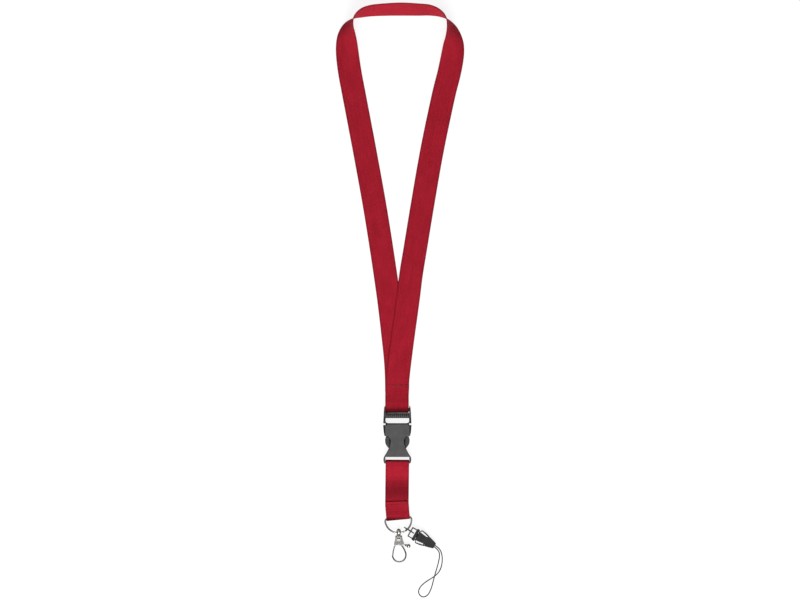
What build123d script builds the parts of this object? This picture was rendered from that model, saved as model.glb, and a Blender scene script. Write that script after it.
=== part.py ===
from build123d import *
import os
from math import asin, atan2, cos, degrees, pi, radians, sin, sqrt, tan

# A neck lanyard that lies flat on a table, front face up. Millimetres.
# The origin is the middle of the side-release buckle's underside: +Y runs up the straps, +X to the
# right as seen from the front, and +Z out of the front face. The table is z = 0.

# ---------------------------------------------------------------- driving dimensions
STRAP_WIDTH = 20.0
STRAP_THICK = 0.9
BUCKLE_THICK = 6.4
BUCKLE_MID = BUCKLE_THICK / 2

TOP_BAR_Y = 29.3  # the bar of the buckle's male half that the neck strap is sewn round
TOP_BAR_R = 1.6
END_BAR_Y = -16.5  # the bar of the female half that the lower strap is sewn round
END_BAR_R = 1.15
STRAP_PLAY = 0.15  # between a bar and the strap round it

RING_BAR = Vector(0.65, -65.1, 1.9)  # middle of the D-ring's straight bar
RING_YAW = 5.4  # the D-ring hangs a little askew, in degrees
RING_WIRE_R = 0.8
RING_R = 11.6
RING_SIDE = 1.5  # from the bar down to the middle of the round side
RING_CORNER = 2.2

HOOK_TOP = Vector(1.15, -78.15, 3.2)  # where the swivel's eye hangs on the D-ring wire
HOOK_TILT = 5.6  # the hook's far end lies on the table, in degrees
HOOK_WIRE_R = 0.65
HOOK_BEND = (0.5, -19.7)  # middle of the hook's round end, in the hook's own plane
HOOK_BEND_R = 5.8
PIVOT = (0.0, -9.1)  # gate pivot, in the hook's own plane
GATE_REACH = 11.75  # from the pivot to the gate's tip
GATE_HUB_R = 1.45

LINK_R = 4.75  # split ring, to the middle of its wire
LINK_WIRE = 0.9
LINK_MID = Vector(10.2, -75.75, LINK_R + LINK_WIRE / 2)
LINK_YAW = -31.0
LINK_ON_RING = -42.5  # where the split ring crosses the D-ring wire, in degrees round it

CLIP_BAR = Vector(11.4, -77.2, 2.3)  # middle of the phone clip's loop bar
CLIP_YAW = -30.4
CLIP_THICK = 4.6
CLIP_LENGTH = 24.6

CORD_R = 0.45


# ---------------------------------------------------------------- helpers
def prism(points, low, high):
    """Extrudes a closed outline of (x, y) points from z = low to z = high."""
    face = make_face(Polyline(*[(x, y, low) for x, y in points], close=True))
    return extrude(face, amount=high - low, dir=(0, 0, 1))


def mirrored(half):
    """Closed outline from its right half, listed from the top down."""
    return half + [(-x, *rest) for x, *rest in reversed(half) if x > 0]


def moulding(rows, low, high, edge):
    """Extrudes an outline of (x, y, corner radius) rows and rounds its upper and lower edges."""
    corners = [(x, y, low) for x, y, _ in rows]
    outline = FilletPolyline(*corners, radius=[radius for _, _, radius in rows], close=True)
    body = extrude(make_face(outline), amount=high - low, dir=(0, 0, 1))
    rims = body.edges().filter_by(lambda rim: abs(rim.bounding_box().size.Z) < 1e-4)
    return fillet(rims, edge)


def block(x0, x1, y0, y1, z0, z1):
    return Pos((x0 + x1) / 2, (y0 + y1) / 2, (z0 + z1) / 2) * Box(x1 - x0, y1 - y0, z1 - z0)


def rod_x(length, radius, y, z, x=0.0):
    """Round rod along X."""
    return Pos(x, y, z) * Rot(0, 90, 0) * Cylinder(radius, length)


def between(points, steps):
    """Catmull-Rom curve through rows of numbers, with steps pieces from row to row."""
    rows = [points[0]] + list(points) + [points[-1]]
    out = []
    for a, b, c, d in zip(rows, rows[1:], rows[2:], rows[3:]):
        for i in range(steps):
            t = i / steps
            out.append(
                tuple(
                    0.5 * (2 * q + (r - p) * t + (2 * p - 5 * q + 4 * r - s) * t**2
                           + (3 * q - p - 3 * r + s) * t**3)
                    for p, q, r, s in zip(a, b, c, d)
                )
            )
    out.append(tuple(points[-1]))
    return out


def ribbon(middles, across):
    """Closed solid of a flat ribbon: its centre line, and the direction across it at each point."""
    sections = []
    for i, (middle, side) in enumerate(zip(middles, across)):
        ahead = middles[min(i + 1, len(middles) - 1)] - middles[max(i - 1, 0)]
        up = side.cross(ahead).normalized() * (STRAP_THICK / 2)
        edge = side.normalized() * (STRAP_WIDTH / 2)
        corners = [middle - edge - up, middle + edge - up, middle + edge + up, middle - edge + up]
        sections.append(Wire.make_polygon(corners, close=True))
    return Solid.make_loft(sections, ruled=True)


def run_length(points):
    return sum((b - a).length for a, b in zip(points, points[1:]))


def wrap(middle, radius, yaw, start, stop, steps=14):
    """Points round a bar whose axis is X turned by yaw; angles in degrees, 0 towards +Y and 90 up."""
    out = []
    for i in range(steps + 1):
        a = radians(start + (stop - start) * i / steps)
        along = radius * cos(a)
        out.append(middle + Vector(-along * sin(radians(yaw)), along * cos(radians(yaw)), radius * sin(a)))
    return out


def rounded_path(points):
    """Straight runs joined by tangent arcs, each as large as its two runs allow."""
    points = [Vector(p) for p in points]
    radii = []
    for a, b, c in zip(points, points[1:], points[2:]):
        turn = radians((b - a).get_angle(c - b))
        radii.append(0.45 * min((b - a).length, (c - b).length) / tan(turn / 2))
    return FilletPolyline(*points, radius=radii), radii


def tube(points, radius):
    """Round wire along a rounded path."""
    path, radii = rounded_path(points)
    section = Plane(origin=path @ 0, z_dir=path % 0) * Circle(radius)
    return sweep(section, path=path), path, radii


# ---------------------------------------------------------------- neck strap
# Plan route of the strap's middle from the left leg's sewn end, over the top, to the right leg's
# lower end: x, y, lean and the height of its lower face. The lean turns the strap about its outer
# edge: 0 lies flat, 90 stands on that edge, and past 90 it shows its back.
NECK_ROUTE = [
    (-0.4, 45.0, 0, 0.95),
    (-0.6, 58.0, 0, 0.95),
    (-1.4, 72.0, 0, 0.25),
    (-3.0, 88.0, 0, 0.0),
    (-7.3, 124.8, 0, 0.0),
    (-13.3, 166.5, 0, 0.0),
    (-20.0, 208.3, 0, 0.0),
    (-28.5, 255.2, 0, 0.0),
    (-37.4, 302.0, 1, 0.0),
    (-41.2, 322.0, 4, 0.0),
    (-43.2, 336.0, 10, 0.0),
    (-44.1, 347.0, 22, 0.0),
    (-44.0, 356.0, 40, 0.0),
    (-42.3, 364.0, 64, 0.0),
    (-38.0, 370.6, 90, 0.0),
    (-31.6, 374.6, 108, 0.0),
    (-23.5, 376.9, 119, 0.0),
    (-10.0, 378.1, 124, 0.0),
    (4.0, 378.4, 125, 0.0),
    (18.0, 378.2, 124, 0.0),
    (29.0, 377.4, 118, 0.0),
    (37.3, 374.9, 105, 0.0),
    (43.6, 370.3, 88, 0.0),
    (47.6, 363.6, 66, 0.0),
    (49.3, 355.6, 46, 0.0),
    (49.0, 346.5, 26, 0.0),
    (47.8, 336.0, 11, 0.0),
    (45.0, 322.0, 4, 0.0),
    (40.0, 302.0, 1, 0.0),
    (30.2, 255.2, 0, 0.0),
    (22.0, 208.3, 0, 0.0),
    (15.7, 170.0, 0, 0.0),
    (12.1, 148.0, 0, 0.95),
    (9.2, 125.0, 0, 0.95),
    (4.4, 90.0, 0, 0.95),
    (1.6, 68.0, 0, 1.5),
    (0.3, 56.0, 0, 1.93),
    (0.0, 48.0, 0, 1.93),
    (-0.3, 42.0, 0, 2.75),
    (-0.3, 36.0, 0, 4.1),
]
NECK_HEM_Y = 57.0
NECK_STITCH_Y = 50.9
TOP_WRAP_R = TOP_BAR_R + STRAP_PLAY + STRAP_THICK / 2
TOP_BAR = Vector(-0.3, TOP_BAR_Y, BUCKLE_MID)


def neck_line():
    """Centre line and cross direction of the whole neck strap."""
    half = STRAP_WIDTH / 2
    rows = between(NECK_ROUTE, 3)
    middles = []
    across = []
    for i, (x, y, lean, lift) in enumerate(rows):
        after = rows[min(i + 1, len(rows) - 1)]
        before = rows[max(i - 1, 0)]
        ahead = Vector(after[0] - before[0], after[1] - before[1], 0).normalized()
        tip = radians(lean)
        across.append(Vector(ahead.Y, -ahead.X, 0) * cos(tip) + Vector(0, 0, sin(tip)))
        rise = half * sin(tip) + STRAP_THICK / 2 * abs(cos(tip))
        middles.append(Vector(x, y, max(lift, 0) + rise + 0.02))
    turn = wrap(TOP_BAR, TOP_WRAP_R, 0, 90, 270)
    back = [(TOP_BAR.X, y, z) for y, z in ((34.0, 0.85), (39.0, 0.5), (45.0, 0.45), (NECK_HEM_Y, 0.45))]
    tail = turn + [Vector(*p) for p in back]
    middles += tail
    across += [Vector(-1, 0, 0)] * len(tail)
    return middles, across


def stitch_row(middle, yaw, count, pitch):
    """Short stitches that lie on a strap's face, side by side across it."""
    row = []
    for i in range(count):
        thread = Pos((i - (count - 1) / 2) * pitch, 0, 0.18) * Box(0.62 * pitch, 0.45, 0.3)
        row.append(Pos(middle) * Rot(0, 0, yaw) * thread)
    return Compound(children=row)


# ---------------------------------------------------------------- lower strap
FLAP_Y = -50.9  # upper edge of the flap
TAIL_Y = -58.5  # the front layer's end, under the flap
LOWER_LEAN_X = -0.4
FLAP_START_Y = -54.0
END_WRAP_R = END_BAR_R + STRAP_PLAY + STRAP_THICK / 2
RING_WRAP_R = RING_WIRE_R + STRAP_PLAY + STRAP_THICK / 2


def lower_x(y):
    """Sideways place of the lower strap's middle: it leans left, then swings right to the D-ring."""
    if y > FLAP_START_Y:
        return LOWER_LEAN_X * (END_BAR_Y - y) / (END_BAR_Y - FLAP_START_Y)
    return LOWER_LEAN_X + (FLAP_START_Y - y) * (RING_BAR.X - LOWER_LEAN_X) / (FLAP_START_Y - RING_BAR.Y)


def lower_yaw(y):
    """The lower strap turns about Z near its lower end."""
    share = min(max((-46.0 - y) / 12.0, 0.0), 1.0)
    return RING_YAW * share * share * (3 - 2 * share)


def lower_line():
    """Centre line and cross direction of the lower strap, from its flap to its hidden tail."""
    end_bar = Vector(0, END_BAR_Y, BUCKLE_MID)
    flap = [(FLAP_Y, 2.35), (-54.5, 2.35), (-58.5, 2.45), (-62.0, 3.1)]
    back = [(-60.0, 0.45), (-52.0, 0.45), (-44.0, 0.45), (-34.0, 0.45), (-26.0, 0.75), (-20.5, 1.2)]
    front = [(-21.0, 4.55), (-27.0, 3.6), (-35.0, 2.3), (-43.0, 1.55), (-50.0, 1.4), (TAIL_Y, 1.4)]
    spans = [
        [Vector(lower_x(y), y, z) for y, z in flap],
        wrap(RING_BAR, RING_WRAP_R, RING_YAW, 90, 270),
        [Vector(lower_x(y), y, z) for y, z in back],
        wrap(end_bar, END_WRAP_R, 0, -90, 90),
        [Vector(lower_x(y), y, z) for y, z in front],
    ]
    middles = []
    across = []
    for number, span in enumerate(spans):
        for point in span:
            yaw = radians(RING_YAW if number == 1 else lower_yaw(point.Y))
            middles.append(point)
            across.append(Vector(-cos(yaw), -sin(yaw), 0))
    return middles, across


# ---------------------------------------------------------------- side-release buckle
ARM_IN = 10.4  # inside of the male half's side arms
BASE_LOW = 14.3
CAVITY_LOW = 1.1
CAVITY_HIGH = BUCKLE_THICK - CAVITY_LOW
PRONG_LOW = 1.3
PRONG_HIGH = BUCKLE_THICK - PRONG_LOW
PRONG_ROOT = (8.5, 14.2)
PRONG_ROOT_R = 1.0
FRAME_LOW = 0.9
RIB_BAR_TOP = 26.4  # upper side of the male half's ribbed bar, just below the strap's fold
FLANGE_TOP = 4.8  # the socket's side flanges are lower than its face
FLOOR_TOP = 1.0  # the socket's floor reaches out under the prongs
FRAME_HIGH = BUCKLE_THICK - FRAME_LOW


def male_buckle():
    """Ladder frame with the strap's bar, a ribbed bar and a slot, a base and a centre guide."""
    outer = mirrored([
        (9.6, 33.2, 1.2), (11.4, 32.0, 1.6), (11.75, 28.0, 10.0), (12.3, 17.4, 0.4), (10.3, 17.4, 0),
        (10.3, BASE_LOW, 0.6),
    ])
    body = moulding(outer, FRAME_LOW, FRAME_HIGH, 0.7)
    body -= block(-ARM_IN, ARM_IN, RIB_BAR_TOP, 40.0, 0, BUCKLE_THICK)
    slot = mirrored([(10.3, 22.0, 0.5), (10.3, 17.5, 2.2)])
    body -= moulding(slot, -1, BUCKLE_THICK + 1, 0.1)
    body += rod_x(2 * ARM_IN + 1.0, TOP_BAR_R, TOP_BAR_Y, BUCKLE_MID)
    for i in range(11):
        body += rod_x(0.9, 2.1, 24.25, FRAME_HIGH - 1.65, x=(i - 5) * 1.8)
    body -= block(-14, 14, 10.0, 17.3, PRONG_HIGH, BUCKLE_THICK)
    body -= block(-14, 14, 10.0, 17.3, 0, PRONG_LOW)
    body += block(-2.6, 2.6, 0.5, BASE_LOW + 0.5, PRONG_LOW, PRONG_HIGH)
    for side in (-1, 1):
        socket = Pos(side * PRONG_ROOT[0], PRONG_ROOT[1], BUCKLE_MID) * Cylinder(PRONG_ROOT_R + 0.12, 6)
        body -= socket
    return body


def prong(side):
    """Springy arm with a catch and a press pad; side is 1 on the right and -1 on the left."""
    outline = [
        (9.1, 13.6, 0.3), (8.75, 6.0, 0.1), (10.0, 5.9, 0.3), (10.75, 3.2, 1.6), (10.5, 0.0, 4.0),
        (9.4, -2.1, 3.0), (7.6, -4.3, 0.4), (6.6, -4.3, 0.4), (6.5, -2.0, 2.0), (6.6, 2.6, 4.0),
        (6.9, 6.6, 4.0), (7.5, 13.4, 0.3),
    ]
    arm = moulding([(side * x, y, radius) for x, y, radius in outline], PRONG_LOW, PRONG_HIGH, 0.5)
    root = Pos(side * PRONG_ROOT[0], PRONG_ROOT[1], BUCKLE_MID) * Cylinder(
        PRONG_ROOT_R, PRONG_HIGH - PRONG_LOW
    )
    return arm + root


def female_buckle():
    """Hollow socket with two side windows, a waist and a slotted end with the lower strap's bar."""
    half = [
        (9.8, 17.15, 0.5), (9.8, 15.9, 0.3), (12.4, 15.9, 0.4), (11.9, 9.8, 8.0), (11.15, 6.4, 0.7),
        (8.2, 5.9, 2.0), (6.2, 3.2, 1.6), (6.3, -0.2, 3.0), (7.7, -4.9, 4.0), (9.6, -8.6, 6.0),
        (11.9, -12.2, 3.0), (12.2, -14.6, 2.0), (11.5, -17.6, 1.2), (10.4, -17.6, 0),
    ]
    body = moulding(mirrored(half), 0, BUCKLE_THICK, 0.8)
    cavity = mirrored([
        (10.5, 18.0), (10.5, 13.5), (9.2, 6.9), (9.2, 5.0), (10.8, 5.0), (10.8, -1.0), (7.8, -4.6),
    ])
    body -= prism(cavity, CAVITY_LOW, CAVITY_HIGH)
    body -= block(-10.4, 10.4, -20.0, -11.9, -1, BUCKLE_THICK + 1)
    body += prism(mirrored([(8.8, 6.6), (8.8, 1.5), (8.0, -2.0), (6.0, -4.0)]), 0.1, FLOOR_TOP)
    for side in (-1, 1):
        body -= Pos(side * 12.4, 10.9, (FLANGE_TOP + 8) / 2) * Box(3.6, 8.6, 8 - FLANGE_TOP)
    body += rod_x(21.2, END_BAR_R, END_BAR_Y, BUCKLE_MID)
    return body


# ---------------------------------------------------------------- D-ring and split ring
def d_ring():
    """Wire bent to a D with rounded corners. Its cut ends meet low on its right side."""
    cut = radians(-66)
    gap = radians(0.9)
    middle = Vector(0, -RING_SIDE, 0)
    corner_x = sqrt((RING_R - RING_CORNER) ** 2 - (RING_CORNER - RING_SIDE) ** 2)
    corner = Vector(corner_x, -RING_CORNER, 0)
    join = atan2(RING_SIDE - RING_CORNER, corner_x)
    halfway = (join + pi / 2) / 2

    def at(angle):
        return middle + Vector(RING_R * cos(angle), RING_R * sin(angle), 0)

    def mirror(point):
        return Vector(-point.X, point.Y, 0)

    turn = [corner + RING_CORNER * Vector(cos(a), sin(a), 0) for a in (join, halfway, pi / 2)]
    right = ThreePointArc(at(cut + gap), at(radians(-30)), turn[0])
    turn_right = ThreePointArc(*turn)
    bar = Line(turn[2], mirror(turn[2]))
    turn_left = ThreePointArc(*[mirror(point) for point in reversed(turn)])
    left = ThreePointArc(mirror(turn[0]), at(radians(-130)), at(cut - gap))
    path = Wire([right, turn_right, bar, turn_left, left])
    section = Plane(origin=path @ 0, z_dir=path % 0) * Circle(RING_WIRE_R)
    return ring_place() * sweep(section, path=path)


def ring_point(angle):
    """A point of the D-ring's round wire and the wire's direction there; angle in degrees."""
    a = radians(angle)
    place = ring_place()
    point = place * Pos(RING_R * cos(a), RING_R * sin(a) - RING_SIDE, 0)
    ahead = place * Pos(RING_R * cos(a) - sin(a), RING_R * sin(a) - RING_SIDE + cos(a), 0)
    return point.position, (ahead.position - point.position).normalized()


def ring_rise():
    """Angle by which the D-ring's round side stands above its bar."""
    reach = RING_SIDE + RING_R
    return degrees(asin((HOOK_TOP.Z - RING_BAR.Z) / reach))


def ring_place():
    return Pos(RING_BAR) * Rot(0, 0, RING_YAW) * Rot(-ring_rise(), 0, 0)


def split_ring():
    """Small ring of flat wire in two turns, standing on its rim."""
    turns = []
    for side in (-1, 1):
        outer = Cylinder(LINK_R + LINK_WIRE / 2, LINK_WIRE / 2 - 0.02)
        hole = Cylinder(LINK_R - LINK_WIRE / 2, LINK_WIRE)
        turns.append(Pos(0, 0, side * LINK_WIRE / 4) * (outer - hole))
    joint = Rot(0, 0, 100) * Pos(LINK_R, 0, 0) * Box(LINK_WIRE * 0.9, 1.2, LINK_WIRE * 0.9)
    ring = turns[0] + turns[1] + joint
    return Pos(LINK_MID) * Rot(0, 0, LINK_YAW) * Rot(90, 0, 0) * ring


# ---------------------------------------------------------------- swivel hook
# The hook is drawn about the place where its eye hangs, with the swivel's axis along -Y and the
# gate's plane at z = 0, and is then tilted down to the table.
def hook_place():
    return Pos(HOOK_TOP) * Rot(HOOK_TILT, 0, 0)


def hook_eye():
    """Rounded eye with a long hole across it, on a shank that is peened over inside the body."""
    profile = EllipticalCenterArc((0, 0.95), 2.25, 2.9, start_angle=-90, arc_size=180)
    half = make_face([profile, Line(profile @ 1, profile @ 0)])
    eye = revolve(half, Axis.Y)
    eye -= block(-4, 4, 0.0, 1.6, -1.15, 1.15)
    for y in (0.0, 1.6):
        eye -= rod_x(8, 1.15, y, 0)
    eye += Pos(0, -1.65, 0) * Rot(90, 0, 0) * Cylinder(1.75, 0.9)
    eye += Pos(0, -3.6, 0) * Rot(90, 0, 0) * Cylinder(0.9, 3.2)
    eye += Pos(0, -5.0, 0) * Rot(90, 0, 0) * Cylinder(1.35, 0.9)
    return eye


def hook_wire():
    """The fixed hook: it leaves the body's lower edge, goes round and ends beside the gate's tip."""
    route = [(0.9, -9.9, 0), (3.4, -11.9, 0), (5.3, -15.4, 0)]
    step = 35
    reach = HOOK_BEND_R / cos(radians(step / 2))
    for i in range(7):
        a = radians(12 - step * i)
        route.append((HOOK_BEND[0] + reach * cos(a), HOOK_BEND[1] + reach * sin(a), 0))
    wire, _, _ = tube(route, HOOK_WIRE_R)
    gate_room = Pos(PIVOT[0], PIVOT[1], 0) * Cylinder(GATE_REACH + 0.25, 6)
    wire -= gate_room & block(-9, -2.4, -24, -9, -3, 3)
    wire -= Pos(PIVOT[0], PIVOT[1], 0) * Cylinder(GATE_HUB_R + 0.15, 1.9)
    return wire - block(-1.0, 8.0, -10.25, -7.3, -0.95, 0.95)


def hook_body():
    """Cast body with a collar, a window for the shank, a slot for the gate, and the fixed hook."""
    outline = [
        (-2.7, -2.7, 0.3), (2.6, -2.7, 0.3), (3.1, -3.8, 1.0), (3.7, -6.2, 4.0), (4.7, -9.5, 0.7),
        (4.3, -10.5, 0.5), (2.6, -10.8, 0.5), (-3.9, -10.8, 0.6), (-4.0, -9.6, 0.8), (-3.2, -6.0, 6.0),
    ]
    body = moulding(outline, -1.82, 1.82, 0.25)
    collar = extrude(Plane.XZ * Ellipse(3.2, 2.75), amount=1.1)
    body += Pos(0, -2.3, 0) * fillet(collar.edges(), 0.3)
    body -= Pos(0, -3.3, 0) * Rot(90, 0, 0) * Cylinder(0.98, 3.0)
    body -= prism([(-1.65, -3.9), (1.65, -3.9), (1.3, -6.95), (-1.3, -6.95)], -3, 3)
    body -= block(-6.0, 8.0, -12.0, -7.3, -0.95, 0.95)
    body -= Pos(PIVOT[0], PIVOT[1], 0) * Cylinder(0.56, 6)
    root = block(1.2, 3.4, -10.8, -10.4, -0.95, 0.95)
    return body + root + hook_wire()


def gate():
    """Gate and thumb knob in one piece, with a hub on the gate pin."""
    route = [(-1.2, -9.6, 0), (-3.4, -11.3, 0), (-4.6, -15.4, 0), (-5.4, -21.6, 0)]
    wire, _, _ = tube(route, 0.6)
    reach = Pos(PIVOT[0], PIVOT[1], 0) * Cylinder(GATE_REACH, 6)
    crank = (wire & reach) + Pos(PIVOT[0], PIVOT[1], 0) * Cylinder(GATE_HUB_R, 1.6)
    arm, _, _ = tube([(0.8, -9.2, 0), (3.4, -9.6, 0), (6.4, -10.9, 0)], 0.6)
    crank += arm
    crank += Pos(6.4, -10.9, 0) * Rot(90, 0, 0) * Sphere(1.1)
    crank += Pos(8.65, -11.5, 0) * Rot(90, 0, 0) * Sphere(1.8)
    crank -= Pos(PIVOT[0], PIVOT[1], 0) * Cylinder(0.56, 6)
    return crank


def gate_pin():
    """Rivet with a domed head on the front and a flat one on the back."""
    pin = Cylinder(0.5, 3.9)
    dome = Pos(0, 0, 1.85) * (Sphere(1.1) & block(-2, 2, -2, 2, 0, 0.55))
    back = Pos(0, 0, -2.0) * Cylinder(0.85, 0.3)
    return Pos(PIVOT[0], PIVOT[1], 0) * (pin + dome + back)


def gate_spring():
    """Leaf spring in the body's slot, above the gate's hub."""
    return block(-0.9, 3.2, -7.62, -7.37, -0.7, 0.7)


# ---------------------------------------------------------------- phone clip
# The clip is drawn with its axis along +X from the middle of its loop's bar.
BOW_ROOT = (15.8, 4.25)  # where each side arm joins the plug
BOW_ROOT_R = 0.8
BOW_EDGE = 1.0  # the side arms are this much lower than the plug, on each face
POCKET_IN = 2.0  # inner and outer side of the plug's pockets for the arms' front ends
POCKET_OUT = 5.0
POCKET_WALL = 0.75  # the plug's wall above and below each pocket


def clip_place():
    return Pos(CLIP_BAR.X, CLIP_BAR.Y, 0) * Rot(0, 0, CLIP_YAW)


def clip_socket():
    """Loop and collar, with a pocket for the plug."""
    loop = block(-0.5, 4.9, -4.7, 4.7, 1.5, 3.1) - block(0.5, 4.0, -3.75, 3.75, 0, 5)
    loop = fillet(loop.edges().filter_by(Axis.Z).sort_by(Axis.X)[:2], 0.45)
    rim = [(4.0, 4.9, 0.3), (4.7, 5.55, 0.5), (6.6, 5.55, 0.4)]
    outline = rim + [(x, -y, radius) for x, y, radius in reversed(rim)]
    socket = loop + moulding(outline, 0, CLIP_THICK, 0.4)
    socket -= block(5.7, 7.0, -4.35, 4.35, 0.8, CLIP_THICK - 0.8)
    socket -= block(4.8, 5.71, -4.8, 4.8, 0.8, CLIP_THICK - 0.8)
    return socket


def clip_plug():
    """Tapered body with pockets for the side arms, a centre tongue and a bore for the cord's knot."""
    half = [
        (6.9, 3.9, 0.4), (9.4, 3.85, 3.0), (14.6, 3.2, 0.8), (16.2, 4.8, 0.8), (19.5, 4.0, 8.0),
        (CLIP_LENGTH - 0.3, 2.6, 0.6), (CLIP_LENGTH, 1.5, 0.4),
    ]
    outline = half + [(x, -y, radius) for x, y, radius in reversed(half)]
    body = moulding(outline, 0, CLIP_THICK, 0.6)
    body += block(5.0, 7.5, -2.0, 2.0, 1.1, CLIP_THICK - 1.1)
    body -= Pos(12.5, 0, CLIP_THICK / 2) * Rot(0, 90, 0) * Cylinder(1.15, 17.2)
    body -= block(20.8, CLIP_LENGTH + 1, -1.25, 1.25, CLIP_THICK / 2 - 0.65, CLIP_THICK / 2 + 0.65)
    for side in (-1, 1):
        body -= Pos(BOW_ROOT[0], side * BOW_ROOT[1], CLIP_THICK / 2) * Cylinder(BOW_ROOT_R + 0.15, 6)
        pocket_mid = side * (POCKET_IN + POCKET_OUT) / 2
        pocket = Box(3.6, POCKET_OUT - POCKET_IN, CLIP_THICK - 2 * POCKET_WALL)
        body -= Pos(7.6, pocket_mid, CLIP_THICK / 2) * pocket
    return body


def clip_bow(side):
    """Springy side arm: it pivots near the plug's waist and its tip catches inside the collar."""
    outline = [
        (4.95, 4.6, 0.15), (5.45, 4.65, 0.1), (5.6, 4.15, 0.15), (6.9, 4.2, 0.5), (7.9, 6.0, 0.6),
        (8.9, 6.45, 0.7), (12.8, 5.95, 5.0), (16.0, 5.0, 0.2), (15.9, 4.1, 0.2), (14.8, 4.2, 0.4),
        (9.2, 5.55, 0.5), (8.4, 5.2, 0.4), (7.3, 3.4, 0.3), (5.0, 3.4, 0.2),
    ]
    arm = moulding([(x, side * y, radius) for x, y, radius in outline], BOW_EDGE, CLIP_THICK - BOW_EDGE, 0.25)
    x, y = BOW_ROOT
    return arm + Pos(x, side * y, CLIP_THICK / 2) * Cylinder(BOW_ROOT_R, CLIP_THICK - 2 * BOW_EDGE)


# ---------------------------------------------------------------- phone cord
# One cord, doubled: both ends are knotted inside the plug. It leaves the plug's tip, lies on the
# table in a long loop and crosses over itself once.
CORD_ROUTE = [
    (38.0, -93.6, 0.9),
    (40.1, -99.8, 0.5),
    (39.2, -107.2, 0.6),
    (36.0, -113.2, 1.75),
    (30.8, -117.3, 1.75),
    (24.4, -121.2, 0.6),
    (19.6, -125.6, 0.5),
    (18.0, -130.4, 0.5),
    (21.2, -134.6, 0.5),
    (26.2, -133.4, 0.5),
    (29.4, -127.6, 0.5),
    (31.2, -121.0, 0.5),
    (33.0, -113.8, 0.5),
    (35.3, -106.4, 0.5),
    (36.9, -99.4, 0.5),
    (36.6, -94.7, 0.9),
]


def clip_point(along, aside, z):
    """A point of the phone clip's frame in the lanyard's frame."""
    yaw = radians(CLIP_YAW)
    x = CLIP_BAR.X + along * cos(yaw) - aside * sin(yaw)
    y = CLIP_BAR.Y + along * sin(yaw) + aside * cos(yaw)
    return (x, y, z)


def phone_cord():
    mid = CLIP_THICK / 2
    start = [clip_point(20.6, 0.5, mid), clip_point(25.4, 0.7, mid - 0.1)]
    end = [clip_point(25.4, -0.7, mid - 0.1), clip_point(20.6, -0.5, mid)]
    return tube(start + CORD_ROUTE + end, CORD_R)


def cord_knot():
    return Pos(*clip_point(19.9, 0, CLIP_THICK / 2)) * Sphere(1.0)


# ---------------------------------------------------------------- build and write
def all_parts():
    neck_middles, neck_across = neck_line()
    lower_middles, lower_across = lower_line()
    cord, cord_path, cord_radii = phone_cord()
    print("neck strap length", round(run_length(neck_middles), 1))
    print("lower strap length", round(run_length(lower_middles), 1))
    print("phone cord length", round(cord_path.length, 1))
    print("phone cord radii", [round(r, 1) for r in cord_radii])
    print("phone cord volume / (section x length)", round(cord.volume / (pi * CORD_R**2 * cord_path.length), 4))
    print("D-ring rise", round(ring_rise(), 2))
    hook = hook_place()
    clip = clip_place()
    neck_top = 1.95 + STRAP_THICK
    return {
        "neck_strap": ribbon(neck_middles, neck_across),
        "neck_stitches": stitch_row(Vector(1.0, NECK_STITCH_Y, neck_top), 0, 6, 3.0),
        "male_buckle": male_buckle(),
        "left_prong": prong(-1),
        "right_prong": prong(1),
        "female_buckle": female_buckle(),
        "lower_strap": ribbon(lower_middles, lower_across),
        "lower_stitches": stitch_row(Vector(-0.3, -53.6, 2.82), 3.0, 7, 2.5),
        "d_ring": d_ring(),
        "split_ring": split_ring(),
        "hook_eye": hook * hook_eye(),
        "hook_body": hook * hook_body(),
        "gate": hook * gate(),
        "gate_pin": hook * gate_pin(),
        "gate_spring": hook * gate_spring(),
        "phone_clip_socket": clip * clip_socket(),
        "phone_clip_plug": clip * clip_plug(),
        "left_bow": clip * clip_bow(1),
        "right_bow": clip * clip_bow(-1),
        "phone_cord": cord,
        "cord_knot": cord_knot(),
    }


os.makedirs("parts", exist_ok=True)
for name, shape in all_parts().items():
    export_step(shape, f"parts/{name}.step")
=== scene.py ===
from math import cos, pi, radians, sin

import bpy
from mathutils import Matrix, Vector


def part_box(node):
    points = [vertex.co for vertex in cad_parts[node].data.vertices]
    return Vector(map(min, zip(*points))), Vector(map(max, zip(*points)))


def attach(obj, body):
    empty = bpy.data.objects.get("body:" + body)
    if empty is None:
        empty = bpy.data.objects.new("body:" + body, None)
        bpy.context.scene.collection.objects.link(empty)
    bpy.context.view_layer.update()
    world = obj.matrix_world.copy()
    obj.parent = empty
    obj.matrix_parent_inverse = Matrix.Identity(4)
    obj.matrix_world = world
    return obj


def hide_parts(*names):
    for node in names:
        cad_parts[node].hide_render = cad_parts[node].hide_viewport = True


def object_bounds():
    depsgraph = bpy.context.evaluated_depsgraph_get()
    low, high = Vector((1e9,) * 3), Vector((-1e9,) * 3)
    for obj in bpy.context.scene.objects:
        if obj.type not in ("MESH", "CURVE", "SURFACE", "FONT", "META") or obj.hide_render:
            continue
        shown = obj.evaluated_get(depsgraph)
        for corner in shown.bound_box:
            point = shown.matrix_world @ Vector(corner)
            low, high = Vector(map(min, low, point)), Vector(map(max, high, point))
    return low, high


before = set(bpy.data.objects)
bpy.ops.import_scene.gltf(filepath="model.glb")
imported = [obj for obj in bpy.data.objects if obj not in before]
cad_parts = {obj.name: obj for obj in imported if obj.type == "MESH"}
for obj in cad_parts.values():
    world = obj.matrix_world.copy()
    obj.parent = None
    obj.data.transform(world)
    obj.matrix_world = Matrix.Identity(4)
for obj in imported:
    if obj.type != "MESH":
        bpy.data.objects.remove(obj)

# A neck lanyard that lies flat on a table, front face up. Metres, in the frame of the CAD model:
# the origin is under the middle of the buckle, +Y runs up the straps and the table is z = 0.

cad_low, cad_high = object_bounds()
MM = 0.001

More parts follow.
